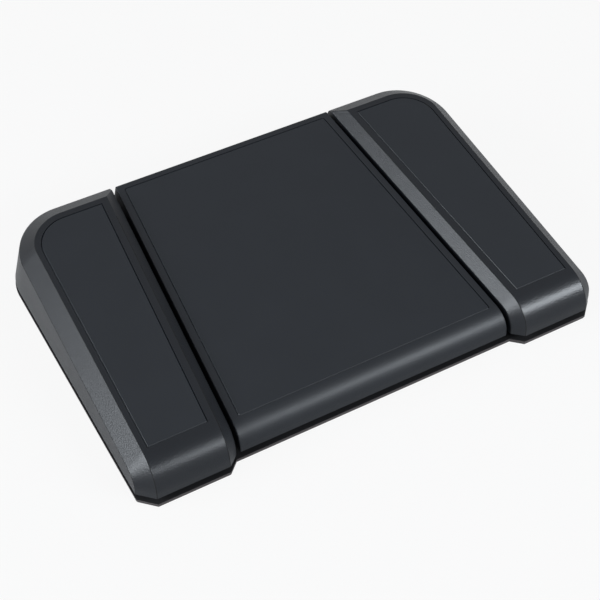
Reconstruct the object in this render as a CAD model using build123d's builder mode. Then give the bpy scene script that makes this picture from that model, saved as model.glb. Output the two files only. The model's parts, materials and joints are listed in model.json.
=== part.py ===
from build123d import *
import os
from math import acos, atan, cos, pi, sin, sqrt, tan

os.makedirs("parts", exist_ok=True)

# Whole object: X runs across the three pedals, Y from the low near edge to the high rear, Z up
overall_depth = 180.0
centre_width = 129.3
side_width = 53.25
seam_gap = 2.1
seam_taper_share = 0.068
near_y = -overall_depth / 2
rear_y = overall_depth / 2
seam_middle_x = (centre_width + seam_gap) / 2
side_x = centre_width / 2 + seam_gap + side_width

# Base: a rubber mat under a steel plate, with a running gap up to the pedals
mat_thickness = 1.0
mat_setback = 0.4
plate_thickness = 1.2
under_gap = 3.8
plate_top = mat_thickness + plate_thickness
pedal_bottom = plate_top + under_gap

# Wedge profile shared by the pedals: tread height at mid depth, and leans per millimetre
tread_height = 35.3
tread_rise_share = 0.151
rear_lean_share = 0.544
side_lean_share = 0.055
roundover_radius = 15.0
roundover_wall_share = 1.0
far_corner_radius = 27.0
outer_bevel = 7.2
seam_bevel = 4.9
edge_round = 0.5
tilt = atan(tread_rise_share)
rear_lean = atan(rear_lean_share)
side_lean = atan(side_lean_share)

# How far the centre pedal lies inside the side pedals' profile
centre_drop = 5.1
centre_rear_setback = 1.0

# Moulding: wall thicknesses, and what a wall takes off a bevel on its inside
wall = 2.5
seam_wall = 2.0
bevel_wall_share = 2 - sqrt(2)
overrun = 20.0

# Tread pads, let into the top of each shell
pad_thickness = 0.9
pad_fit = 0.15
pad_near_margin = 14.0
pad_outer_margin = 2.8
pad_seam_margin = 3.8
pad_far_margin = 3.2
pad_corner_radius = 1.2
pad_near_y = near_y + pad_near_margin

# Hinge units at the rear: a steel bracket with two ears, a pin, and two lugs of the shell
hinge_setback = 18.0
hinge_height = 9.3
pin_radius = 2.0
pin_fit = 0.05
pin_head_radius = 3.2
pin_head_length = 1.2
pin_end = 1.6
clip_radius = 3.2
clip_thickness = 0.8
ear_spacing = 18.0
ear_thickness = 1.5
ear_radius = 5.0
bracket_thickness = 1.5
bracket_front = 14.0
bracket_back = 7.0
bracket_screw_edge = 4.5
bracket_screw_spacing = 9.0
lug_thickness = 5.0
lug_radius = 5.0
lug_side_gap = 0.4
lug_heel = 10.0
centre_hinge_margin = 1.5
hinge_y = rear_y - hinge_setback
hinge_z = plate_top + hinge_height

# Travel: how far the near edge goes down, and the swing about the hinge that gives it
near_travel = 2.8
swing = near_travel / (hinge_y - near_y)

# Rubber stops on the plate
stop_gap = 0.3
down_stop_radius = 4.5
down_stop_height = 3.0
down_stop_boss_radius = 3.5
down_stop_setback = 20.0
side_stop_spacing = 24.0
centre_stop_margin = 19.4
up_stop_length = 6.0
down_stop_y = near_y + down_stop_setback

# Return springs, one under each pedal
spring_setback = 50.0
spring_wire = 1.0
spring_radius = 5.5
spring_roof_room = 4.0
spring_end_gap = 0.55
spring_end_turns = 1.0
spring_turns = 5.5
seat_radius = 9.0
seat_thickness = 2.0
seat_post_radius = 4.2
seat_post_height = 5.0
cup_wall = 1.6
cup_fit = 0.4
cup_depth = 1.6
spring_y = near_y + spring_setback
spring_seat_top = plate_top + seat_thickness
centre_roof_at_spring = tread_height - centre_drop + tread_rise_share * spring_y - wall / cos(tilt)
spring_height = centre_roof_at_spring - spring_roof_room - spring_seat_top

# Snap-action switches, each on a small bracket
switch_arm = 50.0
switch_length = 19.8
switch_depth = 6.4
switch_height = 10.2
switch_lift = 7.4
switch_hole_spacing = 9.5
switch_hole_height = 2.9
switch_edge_radius = 0.6
plunger_offset = 3.2
plunger_radius = 1.2
plunger_fit = 0.08
plunger_rise = 1.3
plunger_depth = 3.0
actuator_radius = 4.0
blade_width = 3.2
blade_thickness = 0.5
blade_length = 4.0
blade_seat = 2.0
blade_spacing = 8.1
bracket_plate = 1.5
bracket_foot = 8.0
bracket_foot_spacing = 12.0
bracket_margin = 1.5
connector_length = 21.0
connector_depth = 5.0
connector_height = 5.4
connector_gap = 0.6
switch_y = hinge_y - switch_arm
switch_bottom = plate_top + switch_lift

# Control board, its headers and chip
board_width = 28.0
board_length = 36.0
board_setback = 8.0
board_thickness = 1.6
board_lift = 1.2
board_screw_inset = 3.5
board_screw_setback = 10.5
spacer_radius = 2.8
header_width = 7.0
header_depth = 6.0
header_height = 5.0
header_spacing = 9.0
chip_size = 7.0
chip_height = 1.0
small_part_length = 2.0
small_part_width = 1.25
small_part_height = 0.8
small_part_shares = [(-0.3, -0.9), (0.3, -0.9), (-0.95, -0.4), (-0.95, 0.4), (0.95, 0), (0.5, 0.9), (-0.5, 0.9)]
board_rear_y = rear_y - board_setback
board_near_y = board_rear_y - board_length
board_bottom = plate_top + board_lift
board_top = board_bottom + board_thickness

# Usb inlet and the housing round it
usb_width = 8.94
usb_height = 3.26
usb_length = 7.4
usb_wall = 0.3
usb_tongue_width = 6.7
usb_tongue_thickness = 0.7
usb_tongue_length = 6.0
usb_window_fit = 0.1
housing_width = 26.0
housing_height = 13.3
housing_setback = 1.0
housing_screw_spacing = 18.0
housing_screw_depth = 5.0
housing_screw_edge = 3.0
pocket_width = 13.0
pocket_height = 7.2
pocket_depth = 1.0
arch_gap = 1.2
arch_corner_radius = 3.0
usb_z = board_top + usb_height / 2
housing_top = plate_top + housing_height

# Leads from the switches to the board, and the clips that hold the two long ones: how far along
# and across its way each point of a lead lies, and how far up from its low stretch to the header
lead_radius = 0.9
lead_lift = 1.4
lead_height = 1.0
header_lead_height = 2.0
lead_straight = 6.0
lead_run_share = 0.45
lead_bow = 1.2
side_lead_shares = [(0.157, 0.033, 0), (0.438, 0.194, 0), (0.719, 0.5, 0), (0.93, 0.7, 0.6)]
clip_length = 6.0
clip_width = 5.6
clip_wall = 1.0
clip_fit = 0.05

# Screws
screw_radius = 1.45
screw_fit = 0.05
screw_head_radius = 2.6
screw_head_height = 1.6
screw_recess_share = 0.5
switch_screw_radius = 1.1
switch_screw_head_radius = 2.0
switch_screw_head_height = 1.3


def finish_piece(piece, label):
    """Label one finished piece and write its file."""
    piece.label = label
    export_step(piece, f"parts/{label}.step")


def seam_x(y, side):
    """Seam face at depth y: side +1 is the side pedal's face, side -1 the centre pedal's."""
    return seam_middle_x + side * seam_gap / 2 - seam_taper_share * y


def side_middle_x(y):
    """Middle of a side pedal's width at depth y."""
    return (seam_x(y, 1) + side_x) / 2


def apex_y(roof, rear):
    """Depth at which a roof line of height roof at mid depth meets the leaning rear wall."""
    return (rear - rear_lean_share * (roof - pedal_bottom)) / (1 + rear_lean_share * tread_rise_share)


def shared_edges(face_a, face_b):
    """Edges that two faces of one solid have in common."""
    return [a for a in face_a.edges() for b in face_b.edges() if a.is_same(b)]


def flat_face(body, direction):
    """Flat face that looks most nearly along a direction."""
    return body.faces().filter_by(GeomType.PLANE).sort_by(lambda f: f.normal_at().dot(Vector(direction)))[-1]


def round_face(body, toward):
    """Cylindrical face lying furthest toward +1 or -1 along Y."""
    return body.faces().filter_by(GeomType.CYLINDER).sort_by(lambda f: toward * f.center().Y)[-1]


def profile_chain(body, flank):
    """Edges along which a flank meets the near face, the roundover and the tread."""
    near = flat_face(body, (0, -1, 0))
    tread = flat_face(body, (0, 0, 1))
    roll = round_face(body, -1)
    return shared_edges(near, flank) + shared_edges(roll, flank) + shared_edges(tread, flank)


def upper_edges(body):
    """Edges of an envelope that don't lie in its open underside."""
    return [edge for edge in body.edges() if edge.bounding_box().max.Z > pedal_bottom + edge_round]


def wedge(inset, drop, setback):
    """Prism of the wedge profile with every face moved inwards by inset; a cavity runs on below."""
    near = near_y + drop + inset
    roof = tread_height - drop - inset / cos(tilt)
    rear = rear_y - setback - inset / cos(rear_lean)
    foot = pedal_bottom - (overrun if inset else 0)
    top_y = apex_y(roof, rear)
    near_corner = (near, roof + tread_rise_share * near)
    near_face = tread_height - drop + tread_rise_share * (near_y + drop) - pedal_bottom
    roundover = min(roundover_radius - drop, roundover_wall_share * near_face)
    with BuildPart() as prism:
        with BuildSketch(Plane.YZ) as outline:
            with BuildLine():
                Polyline(
                    (near, foot),
                    near_corner,
                    (top_y, roof + tread_rise_share * top_y),
                    (rear + rear_lean_share * (pedal_bottom - foot), foot),
                    close=True,
                )
            make_face()
            fillet(outline.vertices().sort_by_distance(near_corner)[0], roundover - inset)
        extrude(amount=side_x, both=True)
    return prism.part


def side_body(inset):
    """Envelope of the right pedal, or with an inset the cavity under its wall."""
    seam_inset = seam_wall if inset else 0
    flank_plane = Plane(
        origin=(side_x - inset / cos(side_lean), 0, pedal_bottom),
        z_dir=(cos(side_lean), 0, sin(side_lean)),
    )
    seam_plane = Plane(
        origin=(seam_x(0, 1) + seam_inset * sqrt(1 + seam_taper_share**2), 0, 0),
        z_dir=(1, seam_taper_share, 0),
    )
    with BuildPart() as body:
        add(wedge(inset, 0, 0))
        split(bisect_by=flank_plane, keep=Keep.BOTTOM)
        split(bisect_by=seam_plane, keep=Keep.TOP)
        fillet(
            shared_edges(flat_face(body, (1, 0, 0)), flat_face(body, (0, 1, 0))),
            far_corner_radius - inset,
        )
        tread = flat_face(body, (0, 0, 1))
        rear_edges = shared_edges(tread, round_face(body, 1)) + shared_edges(tread, flat_face(body, (0, 1, 0)))
        outer_chain = profile_chain(body, flat_face(body, (1, 0, 0))) + rear_edges
        chamfer(outer_chain, outer_bevel - inset * bevel_wall_share)
        chamfer(
            profile_chain(body, flat_face(body, (-1, 0, 0))),
            seam_bevel - seam_inset * bevel_wall_share,
        )
        if not inset:
            fillet(upper_edges(body), edge_round)
    return body.part


def centre_body(inset):
    """Envelope of the centre pedal, or with an inset the cavity under its wall."""
    face_x = seam_x(0, -1) - (seam_wall if inset else 0) * sqrt(1 + seam_taper_share**2)
    with BuildPart() as body:
        add(wedge(inset, centre_drop, centre_rear_setback))
        for side in (1, -1):
            seam_plane = Plane(origin=(side * face_x, 0, 0), z_dir=(side, seam_taper_share, 0))
            split(bisect_by=seam_plane, keep=Keep.BOTTOM)
        if not inset:
            fillet(upper_edges(body), edge_round)
    return body.part


def tread_plane(drop, depth):
    """Plane of a tread, or one that lies depth below it."""
    return Plane(origin=(0, 0, tread_height - drop - depth / cos(tilt)), z_dir=(0, -tread_rise_share, 1))


def pad_outer_x(y):
    """Outer border of a side pad at depth y, inside the leaning flank's bevel."""
    lean = side_lean_share * (tread_height + tread_rise_share * y - pedal_bottom)
    return side_x - lean - outer_bevel - pad_outer_margin


def pad_body(centre, grow, lift):
    """Tread pad of one pedal, or with grow and lift the recess that it lies in."""
    drop = centre_drop if centre else 0
    rear = rear_y - (centre_rear_setback if centre else 0)
    far = apex_y(tread_height - drop, rear) - pad_far_margin - (0 if centre else outer_bevel)
    with BuildPart() as pad:
        with BuildSketch() as outline:
            with BuildLine():
                if centre:
                    near_x = seam_x(pad_near_y, -1) - pad_seam_margin
                    far_x = seam_x(far, -1) - pad_seam_margin
                    Polyline((-near_x, pad_near_y), (near_x, pad_near_y), (far_x, far), (-far_x, far), close=True)
                else:
                    inner_margin = seam_bevel + pad_seam_margin
                    Polyline(
                        (seam_x(pad_near_y, 1) + inner_margin, pad_near_y),
                        (pad_outer_x(pad_near_y), pad_near_y),
                        (pad_outer_x(far), far),
                        (seam_x(far, 1) + inner_margin, far),
                        close=True,
                    )
            make_face()
            corners = outline.vertices().group_by(Axis.Y)
            inner_far, outer_far = corners[-1].sort_by(Axis.X)
            if centre:
                fillet(outline.vertices(), pad_corner_radius)
            else:
                fillet(outer_far, far_corner_radius - outer_bevel - pad_far_margin)
                fillet([*corners[0], inner_far], pad_corner_radius)
            if grow:
                offset(amount=grow, kind=Kind.INTERSECTION)
        extrude(amount=overall_depth)
        split(bisect_by=tread_plane(drop, -lift), keep=Keep.BOTTOM)
        split(bisect_by=tread_plane(drop, pad_thickness), keep=Keep.TOP)
    return pad.part


def boss_prisms(spring_x, stop_xs, plunger_x, hinge_xs):
    """Everything that hangs from a shell's roof: spring cup, stop bosses, actuator and hinge lugs."""
    cup_radius = spring_radius + spring_wire / 2 + cup_fit + cup_wall
    stop_drop = (hinge_y - down_stop_y) * sin(swing)
    stop_z = plate_top + down_stop_height + stop_drop + stop_gap
    with BuildPart() as bosses:
        with BuildSketch(Plane.XY.offset(spring_seat_top + spring_height - cup_depth)):
            with Locations((spring_x, spring_y)):
                Circle(cup_radius)
        extrude(amount=overall_depth)
        with BuildSketch(Plane.XY.offset(stop_z)):
            with Locations(*[(x, down_stop_y) for x in stop_xs]):
                Circle(down_stop_boss_radius)
        extrude(amount=overall_depth)
        with BuildSketch(Plane.XY.offset(switch_bottom + switch_height + plunger_rise + stop_gap)):
            with Locations((plunger_x, switch_y)):
                Circle(actuator_radius)
        extrude(amount=overall_depth)
        for hinge_x in hinge_xs:
            for side in (-1, 1):
                lug_x = hinge_x + side * lug_offset
                with BuildSketch(Plane.YZ.offset(lug_x - lug_thickness / 2)):
                    with Locations((hinge_y, hinge_z)):
                        Circle(lug_radius)
                        Rectangle(2 * lug_radius, overall_depth, align=(Align.CENTER, Align.MIN))
                    with Locations((hinge_y, pedal_bottom)):
                        Rectangle(lug_heel, overall_depth, align=Align.MIN)
                extrude(amount=lug_thickness)
    return bosses.part


def hinge_bores(hinge_xs):
    """Bores through the lugs for the hinge pins."""
    with BuildPart() as bores:
        for hinge_x in hinge_xs:
            with BuildSketch(Plane.YZ.offset(hinge_x)):
                with Locations((hinge_y, hinge_z)):
                    Circle(pin_radius + pin_fit)
            extrude(amount=lug_offset + lug_thickness / 2 + lug_side_gap, both=True)
    return bores.part


def shell_body(envelope, cavity, bosses, bores, recess, spring_x):
    """Hollow pedal shell: envelope less its cavity, with the bosses left standing in it."""
    with BuildPart() as hollow:
        add(cavity)
        add(bosses, mode=Mode.SUBTRACT)
    with BuildPart() as shell:
        add(envelope)
        add(hollow.part, mode=Mode.SUBTRACT)
        add(bores, mode=Mode.SUBTRACT)
        add(recess, mode=Mode.SUBTRACT)
        with BuildSketch(Plane.XY.offset(spring_seat_top + spring_height)):
            with Locations((spring_x, spring_y)):
                Circle(spring_radius + spring_wire / 2 + cup_fit)
        extrude(amount=-2 * cup_depth, mode=Mode.SUBTRACT)
    return shell.part


def mirrored(piece):
    """The same piece on the other side of the middle plane."""
    with BuildPart() as copy:
        mirror(piece, about=Plane.YZ)
    return copy.part


# Places that several pieces share
lug_offset = ear_spacing / 2 + lug_side_gap + lug_thickness / 2
pin_reach = lug_offset + lug_thickness / 2 + lug_side_gap
pocket_y = rear_y - housing_setback - rear_lean_share * (usb_z + pocket_height / 2 - pedal_bottom) - pocket_depth
connector_top = switch_bottom - connector_gap
connector_bottom = connector_top - connector_height
side_stop_x = side_middle_x(down_stop_y)
centre_stop_x = seam_x(down_stop_y, -1) - centre_stop_margin
stop_xs = {
    "left": [-side_stop_x - side_stop_spacing / 2, -side_stop_x + side_stop_spacing / 2],
    "centre": [-centre_stop_x, centre_stop_x],
    "right": [side_stop_x - side_stop_spacing / 2, side_stop_x + side_stop_spacing / 2],
}
side_spring_x = side_middle_x(spring_y)
side_switch_x = side_middle_x(switch_y)
spring_xs = {"left": -side_spring_x, "centre": 0, "right": side_spring_x}
pedal_x = {"left": -side_switch_x, "centre": 0, "right": side_switch_x}
side_hinge_x = side_middle_x(hinge_y)
centre_hinge_x = seam_x(hinge_y, -1) - seam_wall - pin_reach - pin_end - centre_hinge_margin
hinge_places = {
    "left": -side_hinge_x,
    "centre_left": -centre_hinge_x,
    "centre_right": centre_hinge_x,
    "right": side_hinge_x,
}
base_screw_places = [
    (hinge_x + side * bracket_screw_spacing / 2, hinge_y - bracket_front + bracket_screw_edge)
    for hinge_x in hinge_places.values()
    for side in (-1, 1)
]
switch_foot_y = switch_y - switch_depth / 2 - bracket_plate - bracket_foot / 2
switch_foot_places = [
    (x + side * bracket_foot_spacing / 2, switch_foot_y) for x in pedal_x.values() for side in (-1, 1)
]
board_screw_places = [
    (side * (board_width / 2 - board_screw_inset), y)
    for side in (-1, 1)
    for y in (board_near_y + board_screw_setback, board_rear_y - board_screw_inset)
]
housing_screw_places = [
    (side * housing_screw_spacing / 2, board_rear_y + housing_screw_edge) for side in (-1, 1)
]


def base_outline(setback):
    """Plan of the base: bevelled near corners, a stepped near edge and round rear corners."""
    step_x = seam_x(near_y + centre_drop, 1)
    nose_x = seam_x(near_y, 1) + seam_bevel
    right = [
        (step_x, near_y + centre_drop),
        (nose_x, near_y),
        (side_x - outer_bevel, near_y),
        (side_x, near_y + outer_bevel),
        (side_x, rear_y),
    ]
    with BuildSketch() as outline:
        with BuildLine():
            Polyline(*right, *[(-x, y) for x, y in reversed(right)], close=True)
        make_face()
        fillet(outline.vertices().group_by(Axis.Y)[-1], far_corner_radius)
        if setback:
            offset(amount=-setback, kind=Kind.INTERSECTION)
    return outline.sketch


# Rubber mat under the whole base
with BuildPart() as rubber_mat:
    with BuildSketch():
        add(base_outline(mat_setback))
    extrude(amount=mat_thickness)
    with BuildSketch():
        with Locations(*housing_screw_places):
            Circle(screw_head_radius)
    extrude(amount=mat_thickness, mode=Mode.SUBTRACT)
finish_piece(rubber_mat.part, "rubber_mat")

# Steel base plate, tapped for every screw that stands on it
with BuildPart() as base_plate:
    with BuildSketch(Plane.XY.offset(mat_thickness)):
        add(base_outline(0))
    extrude(amount=plate_thickness)
    tapped = base_screw_places + switch_foot_places + board_screw_places
    with BuildSketch(Plane.XY.offset(mat_thickness)):
        with Locations(*tapped, *housing_screw_places):
            Circle(screw_radius + screw_fit)
    extrude(amount=plate_thickness, mode=Mode.SUBTRACT)
    with Locations(*[(x, y, mat_thickness) for x, y in housing_screw_places]):
        Cone(
            screw_head_radius,
            screw_radius,
            screw_head_radius - screw_radius,
            align=(Align.CENTER, Align.CENTER, Align.MIN),
            mode=Mode.SUBTRACT,
        )
finish_piece(base_plate.part, "base_plate")

# Pedal shells: the right one, its mirror image, and the centre one with the inlet's arch
right_bosses = boss_prisms(
    side_spring_x, stop_xs["right"], side_switch_x + plunger_offset, [side_hinge_x]
)
right_pedal_shell = shell_body(
    side_body(0),
    side_body(wall),
    right_bosses,
    hinge_bores([side_hinge_x]),
    pad_body(False, pad_fit, overrun),
    side_spring_x,
)
finish_piece(right_pedal_shell, "right_pedal_shell")
finish_piece(mirrored(right_pedal_shell), "left_pedal_shell")

centre_bosses = boss_prisms(
    0, stop_xs["centre"], plunger_offset, [-centre_hinge_x, centre_hinge_x]
)
centre_shell_blank = shell_body(
    centre_body(0),
    centre_body(wall),
    centre_bosses,
    hinge_bores([-centre_hinge_x, centre_hinge_x]),
    pad_body(True, pad_fit, overrun),
    0,
)
with BuildPart() as centre_pedal_shell:
    add(centre_shell_blank)
    with BuildSketch(Plane.XZ.offset(-board_rear_y)) as arch:
        with Locations((0, pedal_bottom - overrun)):
            Rectangle(
                housing_width + 2 * arch_gap,
                housing_top + arch_gap - pedal_bottom + overrun,
                align=(Align.CENTER, Align.MIN),
            )
        fillet(arch.vertices().group_by(Axis.Y)[-1], arch_corner_radius)
    extrude(amount=-overrun, mode=Mode.SUBTRACT)
finish_piece(centre_pedal_shell.part, "centre_pedal_shell")

# Tread pads
right_tread_pad = pad_body(False, 0, 0)
finish_piece(right_tread_pad, "right_tread_pad")
finish_piece(mirrored(right_tread_pad), "left_tread_pad")
finish_piece(pad_body(True, 0, 0), "centre_tread_pad")

# Hinge brackets: a foot screwed to the plate and two ears that hold the pin
for name, hinge_x in hinge_places.items():
    with BuildPart() as hinge_bracket:
        with BuildSketch(Plane.XY.offset(plate_top)):
            with Locations((hinge_x, hinge_y - bracket_front)):
                Rectangle(ear_spacing, bracket_front + bracket_back, align=(Align.CENTER, Align.MIN))
        extrude(amount=bracket_thickness)
        for side in (-1, 1):
            inner_x = hinge_x + side * (ear_spacing / 2 - ear_thickness / 2)
            with BuildSketch(Plane.YZ.offset(inner_x - ear_thickness / 2)):
                with Locations((hinge_y, hinge_z)):
                    Circle(ear_radius)
                with Locations((hinge_y, plate_top)):
                    Rectangle(2 * ear_radius, hinge_z - plate_top, align=(Align.CENTER, Align.MIN))
            extrude(amount=ear_thickness)
        with BuildSketch(Plane.YZ.offset(hinge_x)):
            with Locations((hinge_y, hinge_z)):
                Circle(pin_radius)
        extrude(amount=ear_spacing, both=True, mode=Mode.SUBTRACT)
        with BuildSketch(Plane.XY.offset(plate_top)):
            with Locations(*[p for p in base_screw_places if abs(p[0] - hinge_x) < ear_spacing]):
                Circle(screw_radius + screw_fit)
        extrude(amount=bracket_thickness, mode=Mode.SUBTRACT)
    finish_piece(hinge_bracket.part, f"{name}_hinge_bracket")

# Hinge pins, headed at one end, and the ring that keeps each in place at the other
for name, hinge_x in hinge_places.items():
    with BuildPart() as hinge_pin:
        with BuildSketch(Plane.YZ.offset(hinge_x - pin_reach)):
            with Locations((hinge_y, hinge_z)):
                Circle(pin_radius)
        extrude(amount=2 * pin_reach + pin_end)
        with BuildSketch(Plane.YZ.offset(hinge_x - pin_reach)):
            with Locations((hinge_y, hinge_z)):
                Circle(pin_head_radius)
        extrude(amount=-pin_head_length)
        chamfer(hinge_pin.faces().sort_by(Axis.X)[-1].edges(), pin_radius - screw_radius)
    finish_piece(hinge_pin.part, f"{name}_hinge_pin")

with BuildPart() as retaining_rings:
    for hinge_x in hinge_places.values():
        with BuildSketch(Plane.YZ.offset(hinge_x + pin_reach)):
            with Locations((hinge_y, hinge_z)):
                Circle(clip_radius)
                Circle(pin_radius, mode=Mode.SUBTRACT)
        extrude(amount=clip_thickness)
finish_piece(retaining_rings.part, "retaining_rings")


def pan_screws(places, seat, shank, radius, head_radius, head_height):
    """Pan-head screws at places on the plane seat, with their shanks running back from it."""
    with BuildPart() as screws:
        with BuildSketch(seat):
            with Locations(*places):
                Circle(head_radius)
        extrude(amount=head_height)
        rims = [e for e in screws.edges() if abs(seat.to_local_coords(e.center()).Z - head_height) < edge_round]
        fillet(rims, head_height / 2)
        with BuildSketch(seat):
            with Locations(*places):
                Circle(radius)
        extrude(amount=-shank)
        with BuildSketch(seat.offset(head_height)):
            with Locations(*places):
                RegularPolygon(head_radius * screw_recess_share, 6)
        extrude(amount=-head_height * screw_recess_share, mode=Mode.SUBTRACT)
    return screws.part


def plate_screws(places, seat_z):
    """Screws that stand on seat_z and run down through the base plate."""
    seat = Plane.XY.offset(seat_z)
    return pan_screws(places, seat, seat_z - mat_thickness, screw_radius, screw_head_radius, screw_head_height)


finish_piece(plate_screws(base_screw_places, plate_top + bracket_thickness), "bracket_screws")
finish_piece(plate_screws(switch_foot_places, plate_top + bracket_plate), "switch_bracket_screws")
finish_piece(plate_screws(board_screw_places, board_top), "board_screws")

# Rubber stops: under the near bosses, and under the heels of the lugs
with BuildPart() as down_stops:
    with BuildSketch(Plane.XY.offset(plate_top)):
        with Locations(*[(x, down_stop_y) for xs in stop_xs.values() for x in xs]):
            Circle(down_stop_radius)
    extrude(amount=down_stop_height)
    fillet(down_stops.edges().group_by(Axis.Z)[-1], stop_gap)
finish_piece(down_stops.part, "down_stops")

with BuildPart() as up_stops:
    with BuildSketch(Plane.XY.offset(plate_top)):
        heel_y = hinge_y + lug_heel - up_stop_length / 2
        with Locations(*[(x + s * lug_offset, heel_y) for x in hinge_places.values() for s in (-1, 1)]):
            Rectangle(lug_thickness, up_stop_length)
    extrude(amount=pedal_bottom - stop_gap - plate_top)
finish_piece(up_stops.part, "up_stops")


def spring_points():
    """Points and directions along the spring's centre line, a quarter turn apart."""
    close_pitch = spring_wire + spring_end_gap
    rise = spring_height - spring_wire / 2
    open_turns = spring_turns - 2 * spring_end_turns
    open_pitch = (rise - 2 * spring_end_turns * close_pitch) / open_turns
    steps = round(4 * spring_turns)
    height = spring_seat_top + spring_wire / 4
    places = []
    for step in range(steps + 1):
        turn = step / 4
        in_end = turn < spring_end_turns or turn > spring_turns - spring_end_turns
        at_change = turn in (spring_end_turns, spring_turns - spring_end_turns)
        pitch = (close_pitch + open_pitch) / 2 if at_change else close_pitch if in_end else open_pitch
        angle = 2 * pi * turn
        ahead = Vector(-sin(angle), cos(angle), pitch / (2 * pi * spring_radius)).normalized()
        places.append((Vector(spring_radius * cos(angle), spring_radius * sin(angle), height), ahead))
        next_in_end = step / 4 + 1 / 8
        closed = next_in_end < spring_end_turns or next_in_end > spring_turns - spring_end_turns
        height += (close_pitch if closed else open_pitch) / 4
    return places


def biarc(start, start_dir, end, end_dir):
    """Two arcs that join two points and share a tangent where they meet."""
    span = end - start
    both = start_dir + end_dir
    spread = 2 * (1 - start_dir.dot(end_dir))
    reach = (sqrt(span.dot(both) ** 2 + 2 * (1 - start_dir.dot(end_dir)) * span.dot(span)) - span.dot(both)) / spread
    meet = (start + end + (start_dir - end_dir) * reach) * 0.5
    middle_dir = (end - end_dir * reach - start - start_dir * reach).normalized()
    return TangentArc(start, meet, tangent=start_dir), TangentArc(meet, end, tangent=middle_dir)


def spring_body(x):
    """Compression spring with closed, ground ends, standing on its seat."""
    places = spring_points()
    with BuildPart() as spring:
        with BuildLine() as path:
            for (start, start_dir), (end, end_dir) in zip(places, places[1:]):
                biarc(start, start_dir, end, end_dir)
        with BuildSketch(Plane(origin=places[0][0], z_dir=places[0][1])):
            Circle(spring_wire / 2)
        sweep()
        split(bisect_by=Plane.XY.offset(spring_seat_top), keep=Keep.TOP)
        split(bisect_by=Plane.XY.offset(spring_seat_top + spring_height), keep=Keep.BOTTOM)
    return spring.part.translate((x, spring_y, 0))


def least_coil_gap():
    """Least clear distance between neighbouring turns, measured on the centre line's points."""
    places = [p for p, _ in spring_points()]
    return min((b - a).length for a, b in zip(places, places[4:])) - spring_wire


print("least gap between spring turns", round(least_coil_gap(), 3))
for name, x in spring_xs.items():
    finish_piece(spring_body(x), f"{name}_return_spring")
    with BuildPart() as spring_seat:
        with BuildSketch(Plane.XY.offset(plate_top)):
            with Locations((x, spring_y)):
                Circle(seat_radius)
        extrude(amount=seat_thickness)
        with BuildSketch(Plane.XY.offset(spring_seat_top)):
            with Locations((x, spring_y)):
                Circle(seat_post_radius)
        extrude(amount=seat_post_height)
        chamfer(spring_seat.edges().group_by(Axis.Z)[-1], seat_post_radius / 6)
    finish_piece(spring_seat.part, f"{name}_spring_seat")

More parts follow.
